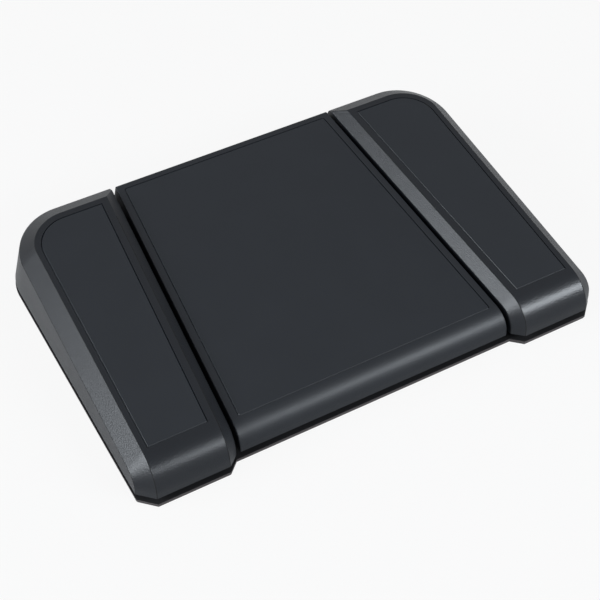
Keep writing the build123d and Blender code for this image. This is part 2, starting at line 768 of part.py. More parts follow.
# Switches: body, plunger, blades, bracket, screws and the connector pushed on the blades
switch_top = switch_bottom + switch_height
switch_hole_z = switch_bottom + switch_hole_height
plunger_drop = switch_arm * sin(swing)
switch_hole_xs = [side * switch_hole_spacing / 2 for side in (-1, 1)]
blade_xs = [-blade_spacing, 0, blade_spacing]
for name, x in pedal_x.items():
    side_bend = -1 if name == "left" else 1
    plunger_x = x + side_bend * plunger_offset
    with BuildPart() as switch_body:
        with BuildSketch(Plane.XY.offset(switch_bottom)):
            with Locations((x, switch_y)):
                RectangleRounded(switch_length, switch_depth, switch_edge_radius)
        extrude(amount=switch_height)
        with BuildSketch(Plane.XY.offset(switch_top)):
            with Locations((plunger_x, switch_y)):
                Circle(plunger_radius + plunger_fit)
        extrude(amount=-plunger_depth - plunger_drop - stop_gap, mode=Mode.SUBTRACT)
        with BuildSketch(Plane.XY.offset(switch_bottom)):
            with Locations(*[(x + b, switch_y) for b in blade_xs]):
                Rectangle(blade_width, blade_thickness)
        extrude(amount=blade_seat, mode=Mode.SUBTRACT)
        with BuildSketch(Plane.XZ.offset(-switch_y)):
            with Locations(*[(x + px, switch_hole_z) for px in switch_hole_xs]):
                Circle(switch_screw_radius + screw_fit)
        extrude(amount=switch_depth, both=True, mode=Mode.SUBTRACT)
    finish_piece(switch_body.part, f"{name}_switch_body")

    with BuildPart() as plunger:
        with BuildSketch(Plane.XY.offset(switch_top - plunger_depth)):
            with Locations((plunger_x, switch_y)):
                Circle(plunger_radius)
        extrude(amount=plunger_depth + plunger_rise)
        fillet(plunger.edges().group_by(Axis.Z)[-1], plunger_radius / 2)
    finish_piece(plunger.part, f"{name}_switch_plunger")

    with BuildPart() as blades:
        with BuildSketch(Plane.XY.offset(switch_bottom - blade_length)):
            with Locations(*[(x + b, switch_y) for b in blade_xs]):
                Rectangle(blade_width, blade_thickness)
        extrude(amount=blade_length + blade_seat)
    finish_piece(blades.part, f"{name}_switch_blades")

    with BuildPart() as connector:
        with BuildSketch(Plane.XY.offset(connector_bottom)):
            with Locations((x, switch_y)):
                Rectangle(connector_length, connector_depth)
        extrude(amount=connector_height)
        chamfer(connector.edges().filter_by(Axis.Z), blade_thickness)
        with BuildSketch(Plane.XY.offset(switch_bottom - blade_length)):
            with Locations(*[(x + b, switch_y) for b in blade_xs]):
                Rectangle(blade_width, blade_thickness)
        extrude(amount=connector_height, mode=Mode.SUBTRACT)
    finish_piece(connector.part, f"{name}_lead_connector")

    bracket_face_y = switch_y - switch_depth / 2
    with BuildPart() as switch_bracket:
        with BuildSketch(Plane.XZ.offset(-bracket_face_y)):
            with Locations((x, plate_top)):
                Rectangle(switch_length, switch_top - bracket_margin - plate_top, align=(Align.CENTER, Align.MIN))
        extrude(amount=bracket_plate)
        with BuildSketch(Plane.XY.offset(plate_top)):
            with Locations((x, bracket_face_y)):
                Rectangle(switch_length, bracket_plate + bracket_foot, align=(Align.CENTER, Align.MAX))
        extrude(amount=bracket_plate)
        with BuildSketch(Plane.XZ.offset(-bracket_face_y)):
            with Locations(*[(x + px, switch_hole_z) for px in switch_hole_xs]):
                Circle(switch_screw_radius)
        extrude(amount=bracket_plate, mode=Mode.SUBTRACT)
        with BuildSketch(Plane.XY.offset(plate_top)):
            with Locations(*[p for p in switch_foot_places if abs(p[0] - x) < switch_length]):
                Circle(screw_radius + screw_fit)
        extrude(amount=bracket_plate, mode=Mode.SUBTRACT)
    finish_piece(switch_bracket.part, f"{name}_switch_bracket")

switch_face = Plane.XZ.offset(-switch_y - switch_depth / 2)
switch_screws = pan_screws(
    [(-x - px, switch_hole_z) for x in pedal_x.values() for px in switch_hole_xs],
    Plane(origin=switch_face.origin, x_dir=(-1, 0, 0), z_dir=(0, 1, 0)),
    switch_depth + bracket_plate,
    switch_screw_radius,
    switch_screw_head_radius,
    switch_screw_head_height,
)
finish_piece(switch_screws, "switch_screws")

# Control board on spacers, with its headers, chip and small parts
with BuildPart() as control_board:
    with BuildSketch(Plane.XY.offset(board_bottom)):
        with Locations((0, board_near_y)):
            Rectangle(board_width, board_length, align=(Align.CENTER, Align.MIN))
        with Locations(*board_screw_places):
            Circle(screw_radius + screw_fit, mode=Mode.SUBTRACT)
    extrude(amount=board_thickness)
finish_piece(control_board.part, "control_board")

with BuildPart() as board_spacers:
    with BuildSketch(Plane.XY.offset(plate_top)):
        with Locations(*board_screw_places):
            Circle(spacer_radius)
            Circle(screw_radius + screw_fit, mode=Mode.SUBTRACT)
    extrude(amount=board_lift)
finish_piece(board_spacers.part, "board_spacers")

with BuildPart() as board_headers:
    with BuildSketch(Plane.XY.offset(board_top)):
        with Locations(*[(i * header_spacing, board_near_y) for i in (-1, 0, 1)]):
            Rectangle(header_width, header_depth, align=(Align.CENTER, Align.MIN))
    extrude(amount=header_height)
finish_piece(board_headers.part, "board_headers")

chip_y = (board_near_y + header_depth + board_rear_y) / 2
with BuildPart() as controller_chip:
    with BuildSketch(Plane.XY.offset(board_top)):
        with Locations((0, chip_y)):
            Rectangle(chip_size, chip_size)
    extrude(amount=chip_height)
    chamfer(controller_chip.edges().group_by(Axis.Z)[-1], chip_height / 4)
finish_piece(controller_chip.part, "controller_chip")

with BuildPart() as small_parts:
    with BuildSketch(Plane.XY.offset(board_top)):
        with Locations(*[(sx * chip_size, chip_y + sy * chip_size) for sx, sy in small_part_shares]):
            Rectangle(small_part_length, small_part_width)
    extrude(amount=small_part_height)
finish_piece(small_parts.part, "board_small_parts")

# Usb inlet: a thin metal shell, its tongue, and the housing that frames it behind the arch
with BuildPart() as usb_shell:
    with BuildSketch(Plane.XZ.offset(-pocket_y)):
        with Locations((0, usb_z)):
            SlotOverall(usb_width, usb_height)
    extrude(amount=usb_length)
    with BuildSketch(Plane.XZ.offset(-pocket_y)):
        with Locations((0, usb_z)):
            SlotOverall(usb_width - 2 * usb_wall, usb_height - 2 * usb_wall)
    extrude(amount=usb_length - usb_wall, mode=Mode.SUBTRACT)
finish_piece(usb_shell.part, "usb_socket_shell")

with BuildPart() as usb_tongue:
    with BuildSketch(Plane.XZ.offset(-pocket_y + usb_length - usb_wall)):
        with Locations((0, usb_z)):
            Rectangle(usb_tongue_width, usb_tongue_thickness)
    extrude(amount=-usb_tongue_length)
finish_piece(usb_tongue.part, "usb_socket_tongue")

with BuildPart() as inlet_housing:
    with BuildSketch(Plane.YZ):
        with BuildLine():
            back = rear_y - housing_setback
            Polyline(
                (board_rear_y, plate_top),
                (back, plate_top),
                (back, pedal_bottom),
                (back - rear_lean_share * (housing_top - pedal_bottom), housing_top),
                (board_rear_y, housing_top),
                close=True,
            )
        make_face()
    extrude(amount=housing_width / 2, both=True)
    with BuildSketch(Plane.XZ.offset(-rear_y)):
        with Locations((0, usb_z)):
            RectangleRounded(pocket_width, pocket_height, pocket_depth)
    extrude(amount=rear_y - pocket_y, mode=Mode.SUBTRACT)
    with BuildSketch(Plane.XZ.offset(-rear_y)):
        with Locations((0, usb_z)):
            SlotOverall(usb_width + 2 * usb_window_fit, usb_height + 2 * usb_window_fit)
    extrude(amount=rear_y - board_rear_y, mode=Mode.SUBTRACT)
    with BuildSketch(Plane.XY.offset(plate_top)):
        with Locations(*housing_screw_places):
            Circle(screw_radius)
    extrude(amount=housing_screw_depth, mode=Mode.SUBTRACT)
finish_piece(inlet_housing.part, "inlet_housing")

with BuildPart() as housing_screws:
    with Locations(*[(x, y, mat_thickness) for x, y in housing_screw_places]):
        Cone(
            screw_head_radius,
            screw_radius,
            screw_head_radius - screw_radius,
            align=(Align.CENTER, Align.CENTER, Align.MIN),
        )
    with BuildSketch(Plane.XY.offset(mat_thickness)):
        with Locations(*housing_screw_places):
            Circle(screw_radius)
    extrude(amount=plate_thickness + housing_screw_depth)
finish_piece(housing_screws.part, "housing_screws")


def lead_body(route):
    """Round lead along straight runs joined by tangent arcs as large as the runs allow."""
    spots = [Vector(*p) for p in route]
    radii = []
    for before, at, after in zip(spots, spots[1:], spots[2:]):
        turn = acos(min(1, (at - before).normalized().dot((after - at).normalized())))
        shorter = min((at - before).length, (after - at).length)
        radii.append(lead_run_share * shorter / tan(turn / 2))
    print("lead radii", [round(r, 1) for r in radii])
    with BuildPart() as lead:
        with BuildLine() as path:
            FilletPolyline(*spots, radius=radii)
        with BuildSketch(Plane(origin=spots[0], z_dir=spots[1] - spots[0])):
            Circle(lead_radius)
        sweep()
    length = sum(edge.length for edge in path.line.edges())
    print("lead volume against section times length", round(lead.part.volume / (pi * lead_radius**2 * length), 4))
    return lead.part


# Leads: two long ones from the side switches, a short one from the centre switch
lead_z = connector_bottom + lead_height
lead_low_z = plate_top + lead_lift
header_z = board_top + header_lead_height
header_near_y = board_near_y - lead_straight
connector_end_x = side_switch_x - connector_length / 2
way_x = connector_end_x - lead_straight
side_route = [
    (
        way_x + along * (header_spacing - way_x),
        switch_y + across * (header_near_y - switch_y),
        lead_low_z + up * (header_z - lead_low_z),
    )
    for along, across, up in side_lead_shares
]
right_lead = lead_body(
    [(connector_end_x, switch_y, lead_z), (way_x, switch_y, lead_z)]
    + side_route
    + [(header_spacing, header_near_y, header_z), (header_spacing, board_near_y, header_z)]
)
finish_piece(right_lead, "right_switch_lead")
finish_piece(mirrored(right_lead), "left_switch_lead")
connector_end_y = switch_y + connector_depth / 2
centre_way_y = connector_end_y + lead_straight
centre_lead = lead_body(
    [
        (0, connector_end_y, lead_z),
        (0, centre_way_y, lead_z),
        (lead_bow, (centre_way_y + header_near_y) / 2, (lead_z + header_z) / 2),
        (0, header_near_y, header_z),
        (0, board_near_y, header_z),
    ]
)
finish_piece(centre_lead, "centre_switch_lead")

# Clips on the plate that hold the long leads
run_start, run_end = Vector(*side_route[0]), Vector(*side_route[1])
run_dir = (run_end - run_start).normalized()
run_mid = (run_start + run_end) * 0.5
with BuildPart() as right_clip:
    clip_plane = Plane(origin=run_mid - run_dir * (clip_length / 2), x_dir=(0, 0, 1), z_dir=run_dir)
    with BuildSketch(clip_plane):
        with Locations((plate_top - run_mid.Z, 0)):
            Rectangle(
                run_mid.Z - plate_top + lead_radius + clip_wall,
                clip_width,
                align=(Align.MIN, Align.CENTER),
            )
        Circle(lead_radius + clip_fit, mode=Mode.SUBTRACT)
    extrude(amount=clip_length)
with BuildPart() as lead_clips:
    add(right_clip.part)
    mirror(right_clip.part, about=Plane.YZ)
finish_piece(lead_clips.part, "lead_clips")
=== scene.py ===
# %% [markdown]
# A foot switch with three wedge-shaped pedals, dressed in Blender.
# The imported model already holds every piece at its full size, so this script leaves the shapes of
# the moulded shells alone and gives each piece a finish. It then models the small things that a
# solid model leaves out, such as the grip under the mat and the contacts in the socket.

# %% Load the model
import json
from math import cos, hypot, pi, radians, sin

import bmesh
import bpy
from mathutils import Matrix, Vector

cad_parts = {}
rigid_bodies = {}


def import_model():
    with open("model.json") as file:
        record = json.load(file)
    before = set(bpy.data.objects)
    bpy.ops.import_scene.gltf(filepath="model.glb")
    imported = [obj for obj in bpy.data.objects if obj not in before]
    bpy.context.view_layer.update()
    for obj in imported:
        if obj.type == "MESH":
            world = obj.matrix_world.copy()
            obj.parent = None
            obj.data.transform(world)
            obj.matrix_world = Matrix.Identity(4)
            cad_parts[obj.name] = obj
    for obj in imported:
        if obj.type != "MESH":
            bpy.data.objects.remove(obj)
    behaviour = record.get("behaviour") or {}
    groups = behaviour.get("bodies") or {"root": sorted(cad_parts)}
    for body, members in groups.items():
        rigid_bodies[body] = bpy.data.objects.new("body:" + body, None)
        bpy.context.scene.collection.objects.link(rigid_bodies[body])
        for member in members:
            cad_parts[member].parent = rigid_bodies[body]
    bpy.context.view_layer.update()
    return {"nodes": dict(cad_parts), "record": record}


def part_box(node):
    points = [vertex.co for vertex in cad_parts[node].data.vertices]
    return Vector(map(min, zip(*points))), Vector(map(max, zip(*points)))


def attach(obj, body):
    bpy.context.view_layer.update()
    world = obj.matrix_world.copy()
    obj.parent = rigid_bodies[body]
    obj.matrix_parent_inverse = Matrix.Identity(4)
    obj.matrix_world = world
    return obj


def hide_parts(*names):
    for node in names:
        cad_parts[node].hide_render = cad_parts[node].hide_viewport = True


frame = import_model()
nodes = frame["nodes"]

# %% [markdown]
# Everything here is in metres. Sizes of a millimetre or less are easier to read with a unit in
# front of them, so the script writes 0.4 * MM and never 0.0004.

# %% Units
MM = 0.001
print("a millimetre is", MM, "m")

# %% [markdown]
# The camera stands in front and to the left, looking down at about 45 degrees. Its long lens is
# what keeps the far edge nearly as wide as the near one. The picture is square, so the lens comes
# straight from the focal length in pixels, and the small shift puts the object where it stands in
# the frame.

# %% Camera
PICTURE = 600
FOCAL_PIXELS = 1374.2
CENTRE_PIXEL = (326.5, 295.9)
AZIMUTH, ELEVATION, ROLL = radians(-27.936), radians(44.74), radians(-1.691)
AIM = Vector((2.99 * MM, -31.25 * MM, 20 * MM))
REACH = 652.3 * MM
SENSOR = 36

back = Vector((sin(AZIMUTH) * cos(ELEVATION), -cos(AZIMUTH) * cos(ELEVATION), sin(ELEVATION)))
level = Vector((cos(AZIMUTH), sin(AZIMUTH), 0))
upright = back.cross(level)
across = level * cos(ROLL) + upright * sin(ROLL)
upward = upright * cos(ROLL) - level * sin(ROLL)

bpy.ops.object.camera_add()
camera = bpy.context.object
camera.name = "Camera"
camera.matrix_world = Matrix((
    (across.x, upward.x, back.x, AIM.x + back.x * REACH),
    (across.y, upward.y, back.y, AIM.y + back.y * REACH),
    (across.z, upward.z, back.z, AIM.z + back.z * REACH),
    (0, 0, 0, 1),
))
camera.data.sensor_width = SENSOR
camera.data.lens = FOCAL_PIXELS / PICTURE * SENSOR
camera.data.shift_x = (PICTURE / 2 - CENTRE_PIXEL[0]) / PICTURE
camera.data.shift_y = (CENTRE_PIXEL[1] - PICTURE / 2) / PICTURE
camera.data.clip_start = 10 * MM
bpy.context.scene.camera = camera
bpy.context.scene.view_settings.view_transform = "Standard"
print("lens in mm", round(camera.data.lens, 1))

# %% [markdown]
# A studio floor looks white because it is lit until it is white. Lighting it that hard would wash
# out the object, so most of the white is a glow that lights no surface: the shader mixes it in
# for camera and glass rays, and the rest stays a grey surface that takes the object's soft shadow.
# Mirror rays get only a small share of the glow, so the plastic and the metal mirror a grey floor.
# The floor can't be seen from below, and rays shorter than CONTACT pass through it, so that light
# still reaches an underside that rests on it.

# %% Node helpers for the materials
def new_material(name):
    """An empty node material: its tree, its shader and a helper that adds nodes."""
    material = bpy.data.materials.new(name)
    material.use_nodes = True
    tree = material.node_tree
    tree.nodes.clear()
    output = tree.nodes.new("ShaderNodeOutputMaterial")

    def add(kind, inputs=None, **settings):
        node = tree.nodes.new(kind)
        for key, value in settings.items():
            setattr(node, key, value)
        for key, value in (inputs or {}).items():
            if isinstance(value, bpy.types.NodeSocket):
                tree.links.new(value, node.inputs[key])
            else:
                node.inputs[key].default_value = value
        return node

    return material, tree, output, add


def maths(add, operation, *values):
    """What a maths node makes of one or two values."""
    return add("ShaderNodeMath", dict(enumerate(values)), operation=operation).outputs[0]


def seen_share(add, by_camera, by_mirror):
    """One share for camera and glass rays, another for mirror rays, and 0 for all others."""
    path = add("ShaderNodeLightPath").outputs
    direct = maths(add, "MAXIMUM", path["Is Camera Ray"], path["Is Transmission Ray"])
    camera_part = maths(add, "MULTIPLY", direct, by_camera)
    mirror_part = maths(add, "MULTIPLY", path["Is Glossy Ray"], by_mirror)
    return maths(add, "MAXIMUM", camera_part, mirror_part)


print("node helpers ready")

# %% Floor
FLOOR_SIZE = 20.0
FLOOR_GLOW = 0.9
MIRRORED_GLOW = 0.12
PAPER = 0.5
FLOOR_DROP = 0.02 * MM
CONTACT = 1.5 * MM

bpy.ops.object.select_all(action="DESELECT")
bpy.ops.mesh.primitive_plane_add(size=FLOOR_SIZE, location=(0, 0, -FLOOR_DROP))
floor = bpy.context.object
floor.name = "studio_floor"
material, tree, output, add = new_material("studio_floor")
paper = add("ShaderNodeBsdfDiffuse", {"Color": (PAPER, PAPER, PAPER, 1)})
glow = add("ShaderNodeEmission", {"Color": (1, 1, 1, 1), "Strength": 1.0})
glow_share = seen_share(add, FLOOR_GLOW, MIRRORED_GLOW)
mixed = add("ShaderNodeMixShader", {0: glow_share, 1: paper.outputs[0], 2: glow.outputs[0]})
side = add("ShaderNodeNewGeometry")
travel = add("ShaderNodeLightPath")
touching = maths(add, "LESS_THAN", travel.outputs["Ray Length"], CONTACT)
unseen = maths(add, "MAXIMUM", side.outputs["Backfacing"], touching)
clear = add("ShaderNodeBsdfTransparent")
one_sided = add("ShaderNodeMixShader", {0: unseen, 1: mixed.outputs[0], 2: clear.outputs[0]})
tree.links.new(one_sided.outputs[0], output.inputs["Surface"])
floor.data.materials.append(material)
print("floor", FLOOR_SIZE, "m across")

# %% [markdown]
# The sky isn't even: it is light grey at the horizon and a darker grey above. Satin plastic shows
# that plainly. Seen from the camera, its flat top mirrors the darker part, its upright sides mirror
# the floor, and its bevels mirror what is between. The world's shader blends the two greys by
# height, and it is the same for every ray.

# %% Sky
HORIZON_LIGHT = 0.8
CEILING_LIGHT = 0.5
HORIZON_TOP = 0.05
CEILING_START = 0.5

world = bpy.data.worlds.new("studio")
bpy.context.scene.world = world
world.use_nodes = True
tree = world.node_tree
tree.nodes.clear()
place = tree.nodes.new("ShaderNodeTexCoord")
split = tree.nodes.new("ShaderNodeSeparateXYZ")
ramp = tree.nodes.new("ShaderNodeMapRange")
ramp.inputs["From Min"].default_value = HORIZON_TOP
ramp.inputs["From Max"].default_value = CEILING_START
ramp.inputs["To Min"].default_value = HORIZON_LIGHT
ramp.inputs["To Max"].default_value = CEILING_LIGHT
background = tree.nodes.new("ShaderNodeBackground")
world_output = tree.nodes.new("ShaderNodeOutputWorld")
tree.links.new(place.outputs["Generated"], split.inputs[0])
tree.links.new(split.outputs["Z"], ramp.inputs["Value"])
tree.links.new(ramp.outputs["Result"], background.inputs["Strength"])
tree.links.new(background.outputs[0], world_output.inputs["Surface"])
print("sky from", HORIZON_LIGHT, "to", CEILING_LIGHT)

# %% [markdown]
# Two soft boxes light the object. One stands low on the left, where the left-facing bevels catch
# its light. The other hangs in front on the right, and draws the long highlight along the rounded
# near edges. Both are large, so the shadows have no hard edge. Each has a glint with it, a lamp
# from about the same side that only reflections show: it strengthens the highlights and adds
# nothing to the light on the surfaces.

# %% Soft boxes
DAYLIGHT = (0.94, 1.0, 1.06)
BOX_DISTANCE = 1.5
BOX_AIM = Vector((0, 0, 20 * MM))
LEFT_WAY = (-0.90, 0.0, 0.44)
FRONT_TURN = -14


def soft_box(name, direction, width, height, power, turn=0, gloss_only=False):
    """A rectangular lamp that stands off in a direction, looks back at the object and may lean."""
    bpy.ops.object.select_all(action="DESELECT")
    bpy.ops.object.light_add(type="AREA")
    lamp = bpy.context.object
    lamp.name = name
    way = Vector(direction).normalized()
    lamp.location = BOX_AIM + way * BOX_DISTANCE
    lean = Matrix.Rotation(radians(turn), 3, "Z")
    lamp.rotation_euler = (way.to_track_quat("Z", "Y").to_matrix() @ lean).to_euler()
    lamp.data.shape = "RECTANGLE"
    lamp.data.size = width
    lamp.data.size_y = height
    lamp.data.energy = power
    lamp.data.color = DAYLIGHT
    lamp.visible_diffuse = not gloss_only
    print(name, "at", [round(v, 2) for v in lamp.location])


soft_box("left_box", LEFT_WAY, 1.3, 0.5, 18)
soft_box("left_glint", LEFT_WAY, 1.1, 0.45, 24, gloss_only=True)
soft_box("front_box", (0.475, -0.735, 0.485), 1.0, 0.4, 15, turn=FRONT_TURN)
soft_box("front_glint", (0.50, -0.72, 0.485), 0.8, 0.35, 5, turn=FRONT_TURN, gloss_only=True)

# %% [markdown]
# The shells are a dark blue-grey plastic with a satin sheen, and a fine grain breaks its
# reflections up. Two noises make that. The fine one moves the surface by less than a tenth of a
# millimetre, and the coarse one lets colour and sheen drift a little. Some finishes also look at
# which way a surface faces. The side shells' rounded edges in front of CORNER_START are made dull
# and painted black, a painted dark reflection, so they draw no bright lines. The chamfered rim of
# a tread pad is dull where it faces forwards or back, and glossy where it faces sideways. A painted
# plate is paler on its upright faces than on faces that look up or down.
# INNER_EDGE and OUTER_EDGE say how far sideways a rounded edge faces, as the share of its normal
# along X: where the band fades in, and where it fades out.

# %% Finishes
INNER_EDGE = ((0.04, 0.10), (0.60, 0.68))
OUTER_EDGE = ((0.73, 0.79), (0.975, 0.992))
CORNER_START = 48 * MM
EDGE_ROUGH = 0.9
RIM_LEVEL = 0.93
RIM_SIDE = 0.6
RIM_ROUGH = (0.7, 0.30)
UPRIGHT_LEVEL = 0.5
DRIFT = 0.06
DRIFT_SCALE = 55.0
DRIFT_DETAIL = 3.0
SHEEN_SWING = 0.03
GRAIN_DETAIL = 2.0
GRAIN_ROUGHNESS = 0.55
IOR = 1.45


def between(add, value, rise, fall):
    """1 where a value lies between two soft borders, 0 outside them."""
    up = add("ShaderNodeMapRange", {"Value": value, "From Min": rise[0], "From Max": rise[1]})
    down = add("ShaderNodeMapRange", {
        "Value": value, "From Min": fall[0], "From Max": fall[1], "To Min": 1.0, "To Max": 0.0,
    })
    return maths(add, "MULTIPLY", up.outputs[0], down.outputs[0])


def painted_shade_edges(add, place):
    """Painted-shade mask: 1 on a shell's rounded edges between bevels and faces, found by which way
    they face.
    """
    facing = add("ShaderNodeSeparateXYZ", {0: place.outputs["Normal"]})
    sideways = maths(add, "ABSOLUTE", facing.outputs["X"])
    inner = between(add, sideways, *INNER_EDGE)
    outer = between(add, sideways, *OUTER_EDGE)
    both = maths(add, "MAXIMUM", inner, outer)
    where = add("ShaderNodeSeparateXYZ", {0: place.outputs["Object"]})
    front = maths(add, "LESS_THAN", where.outputs["Y"], CORNER_START)
    return maths(add, "MULTIPLY", both, front)


def finish(name, colour, roughness, grain, depth, metallic=0.0, stretch=(1, 1, 1), edges=False,
           upright_face_colour=None, rim=False):
    """A procedural finish: a base colour that drifts, a sheen that swings, and a grain of one size."""
    material, tree, output, add = new_material(name)
    place = add("ShaderNodeTexCoord")
    mapping = add("ShaderNodeMapping", {"Vector": place.outputs["Object"], "Scale": stretch})
    coarse = add("ShaderNodeTexNoise", {
        "Vector": place.outputs["Object"], "Scale": DRIFT_SCALE, "Detail": DRIFT_DETAIL,
    })
    fine = add("ShaderNodeTexNoise", {
        "Vector": mapping.outputs[0], "Scale": 1 / grain, "Detail": GRAIN_DETAIL,
        "Roughness": GRAIN_ROUGHNESS,
    })
    darker = tuple(c * (1 - DRIFT) for c in colour) + (1,)
    lighter = tuple(c * (1 + DRIFT) for c in colour) + (1,)
    tone = add("ShaderNodeMix", {"Factor": coarse.outputs["Fac"], "A": darker, "B": lighter},
               data_type="RGBA")
    sheen = add("ShaderNodeMapRange", {
        "Value": coarse.outputs["Fac"], "To Min": roughness - SHEEN_SWING,
        "To Max": roughness + SHEEN_SWING,
    })
    base, rough = tone.outputs["Result"], sheen.outputs["Result"]
    # painted shade: the side shells' rounded edges are painted black, a painted dark reflection, and
    # made dull
    if edges:
        edge_shade = painted_shade_edges(add, place)
        base = add("ShaderNodeMix", {"Factor": edge_shade, "A": base, "B": (0, 0, 0, 1)},
                   data_type="RGBA").outputs["Result"]
        rough = add("ShaderNodeMix", {"Factor": edge_shade, "A": rough, "B": EDGE_ROUGH}).outputs["Result"]
    if rim:
        facing = add("ShaderNodeSeparateXYZ", {0: place.outputs["Normal"]})
        chamfer = maths(add, "LESS_THAN", facing.outputs["Z"], RIM_LEVEL)
        sideways = maths(add, "ABSOLUTE", facing.outputs["X"])
        polish = add("ShaderNodeMapRange", {
            "Value": sideways, "From Max": RIM_SIDE, "To Min": RIM_ROUGH[0], "To Max": RIM_ROUGH[1],
        })
        rough = add("ShaderNodeMix", {
            "Factor": chamfer, "A": rough, "B": polish.outputs[0],
        }).outputs["Result"]
    # the plate is paler on its upright faces and darker on faces that look up or down
    if upright_face_colour:
        facing = add("ShaderNodeSeparateXYZ", {0: place.outputs["Normal"]})
        upward_share = maths(add, "ABSOLUTE", facing.outputs["Z"])
        edge = maths(add, "LESS_THAN", upward_share, UPRIGHT_LEVEL)
        base = add("ShaderNodeMix", {"Factor": edge, "A": base, "B": upright_face_colour + (1,)},
                   data_type="RGBA").outputs["Result"]
    bump = add("ShaderNodeBump", {"Height": fine.outputs["Fac"], "Distance": depth, "Strength": 1.0})
    shader = add("ShaderNodeBsdfPrincipled", {
        "Base Color": base, "Roughness": rough,
        "Normal": bump.outputs["Normal"], "Metallic": metallic, "IOR": IOR,
    })
    tree.links.new(shader.outputs[0], output.inputs["Surface"])
    return material


finishes = {
    # edges=True puts painted shade, a painted dark reflection, on the side shells' rounded edges
    "shell_plastic": finish("shell_plastic", (0.0096, 0.0115, 0.0150), 0.30, 0.65 * MM, 0.08 * MM,
                            edges=True),
    "centre_plastic": finish("centre_plastic", (0.0098, 0.0120, 0.0160), 0.47, 0.65 * MM, 0.06 * MM),
    "pad_plastic": finish("pad_plastic", (0.0104, 0.0130, 0.0174), 0.50, 0.30 * MM, 0.04 * MM,
                          rim=True),
    "mat_rubber": finish("mat_rubber", (0.034, 0.031, 0.031), 0.75, 0.5 * MM, 0.04 * MM),
    "plate_paint": finish("plate_paint", (0.010, 0.010, 0.011), 0.5, 0.6 * MM, 0.02 * MM,
                          upright_face_colour=(0.062, 0.055, 0.056)),
    "stop_rubber": finish("stop_rubber", (0.018, 0.018, 0.018), 0.8, 0.4 * MM, 0.03 * MM),
    "zinc_steel": finish("zinc_steel", (0.56, 0.57, 0.58), 0.32, 0.4 * MM, 0.006 * MM, metallic=1.0,
                         stretch=(1, 0.08, 1)),
    "spring_steel": finish("spring_steel", (0.42, 0.42, 0.44), 0.28, 0.3 * MM, 0.004 * MM,
                           metallic=1.0),
    "nylon": finish("nylon", (0.60, 0.58, 0.52), 0.5, 0.5 * MM, 0.01 * MM),
    "switch_plastic": finish("switch_plastic", (0.02, 0.02, 0.022), 0.35, 0.4 * MM, 0.01 * MM),
    "plunger_plastic": finish("plunger_plastic", (0.42, 0.03, 0.02), 0.35, 0.4 * MM, 0.006 * MM),
    "blade_brass": finish("blade_brass", (0.78, 0.60, 0.28), 0.3, 0.4 * MM, 0.005 * MM, metallic=1.0,
                          stretch=(1, 1, 0.1)),
    "connector_plastic": finish("connector_plastic", (0.62, 0.62, 0.58), 0.45, 0.5 * MM, 0.01 * MM),
    "lead_jacket": finish("lead_jacket", (0.02, 0.02, 0.022), 0.55, 0.3 * MM, 0.01 * MM),
    "board_laminate": finish("board_laminate", (0.01, 0.09, 0.03), 0.35, 0.4 * MM, 0.006 * MM),
    "header_plastic": finish("header_plastic", (0.03, 0.03, 0.03), 0.5, 0.4 * MM, 0.01 * MM),
    "chip_plastic": finish("chip_plastic", (0.02, 0.02, 0.02), 0.6, 0.25 * MM, 0.01 * MM),
    "socket_metal": finish("socket_metal", (0.62, 0.62, 0.60), 0.25, 0.4 * MM, 0.004 * MM,
                           metallic=1.0),
    "housing_plastic": finish("housing_plastic", (0.022, 0.024, 0.027), 0.45, 0.4 * MM, 0.012 * MM),
}
print("finishes", len(finishes))

# %% Put a finish on every node
slot_of = {row["node"]: row["material_slot"] for row in frame["record"]["subparts"]}
for name, node in nodes.items():
    look = "centre_plastic" if name == "centre_pedal_shell" else slot_of[name]
    node.data.materials.clear()
    node.data.materials.append(finishes[look])
print("dressed", len(slot_of), "nodes")

# %% [markdown]
# Some pieces want more than a finish: a softened rim, a moulded grip, a row of contacts. Each one
# starts from a copy of its node or from a primitive. A node's mesh arrives as loose triangles, so
# its copy is merged and its flat faces are dissolved back into whole faces before it is worked on.
# A face counts as facing a way when its normal's share that way is over FACING.

# %% Helpers for modelling
MERGE = 0.001 * MM
FLAT_ANGLE = radians(0.5)
FACING = 0.9
STEEP = 0.5


def only(piece):
    """Select one object and make it active."""
    bpy.ops.object.select_all(action="DESELECT")
    piece.select_set(True)
    bpy.context.view_layer.objects.active = piece


def merged_copy(node, name):
    """A copy of a node that stands free: merged, with whole flat faces."""
    only(nodes[node])
    bpy.ops.object.duplicate()
    piece = bpy.context.object
    piece.name = name
    bpy.ops.object.parent_clear(type="CLEAR_KEEP_TRANSFORM")
    for key in [key for key in piece.keys() if key.startswith("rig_")]:
        del piece[key]
    bpy.ops.object.mode_set(mode="EDIT")
    bpy.ops.mesh.select_all(action="SELECT")
    bpy.ops.mesh.remove_doubles(threshold=MERGE)
    bpy.ops.mesh.dissolve_limited(angle_limit=FLAT_ANGLE)
    bpy.ops.object.mode_set(mode="OBJECT")
    return piece


def pick(piece, kind, test):
    """In edit mode, select the faces or edges that pass a test, and say how many."""
    bpy.ops.mesh.select_mode(type=kind)
    bpy.ops.mesh.select_all(action="DESELECT")
    mesh = bmesh.from_edit_mesh(piece.data)
    found = [part for part in (mesh.faces if kind == "FACE" else mesh.edges) if test(part)]
    for part in found:
        part.select_set(True)
    mesh.select_flush_mode()
    bmesh.update_edit_mesh(piece.data)
    return len(found)


def dress(piece, finish_name, body, slot, *replaced):
    """Give a finished piece its finish and body, and hide the nodes that it stands for. The slot
    argument is not used.
    """
    piece.data.materials.clear()
    piece.data.materials.append(finishes[finish_name])
    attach(piece, body)
    if replaced:
        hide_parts(*replaced)


print("modelling helpers ready")

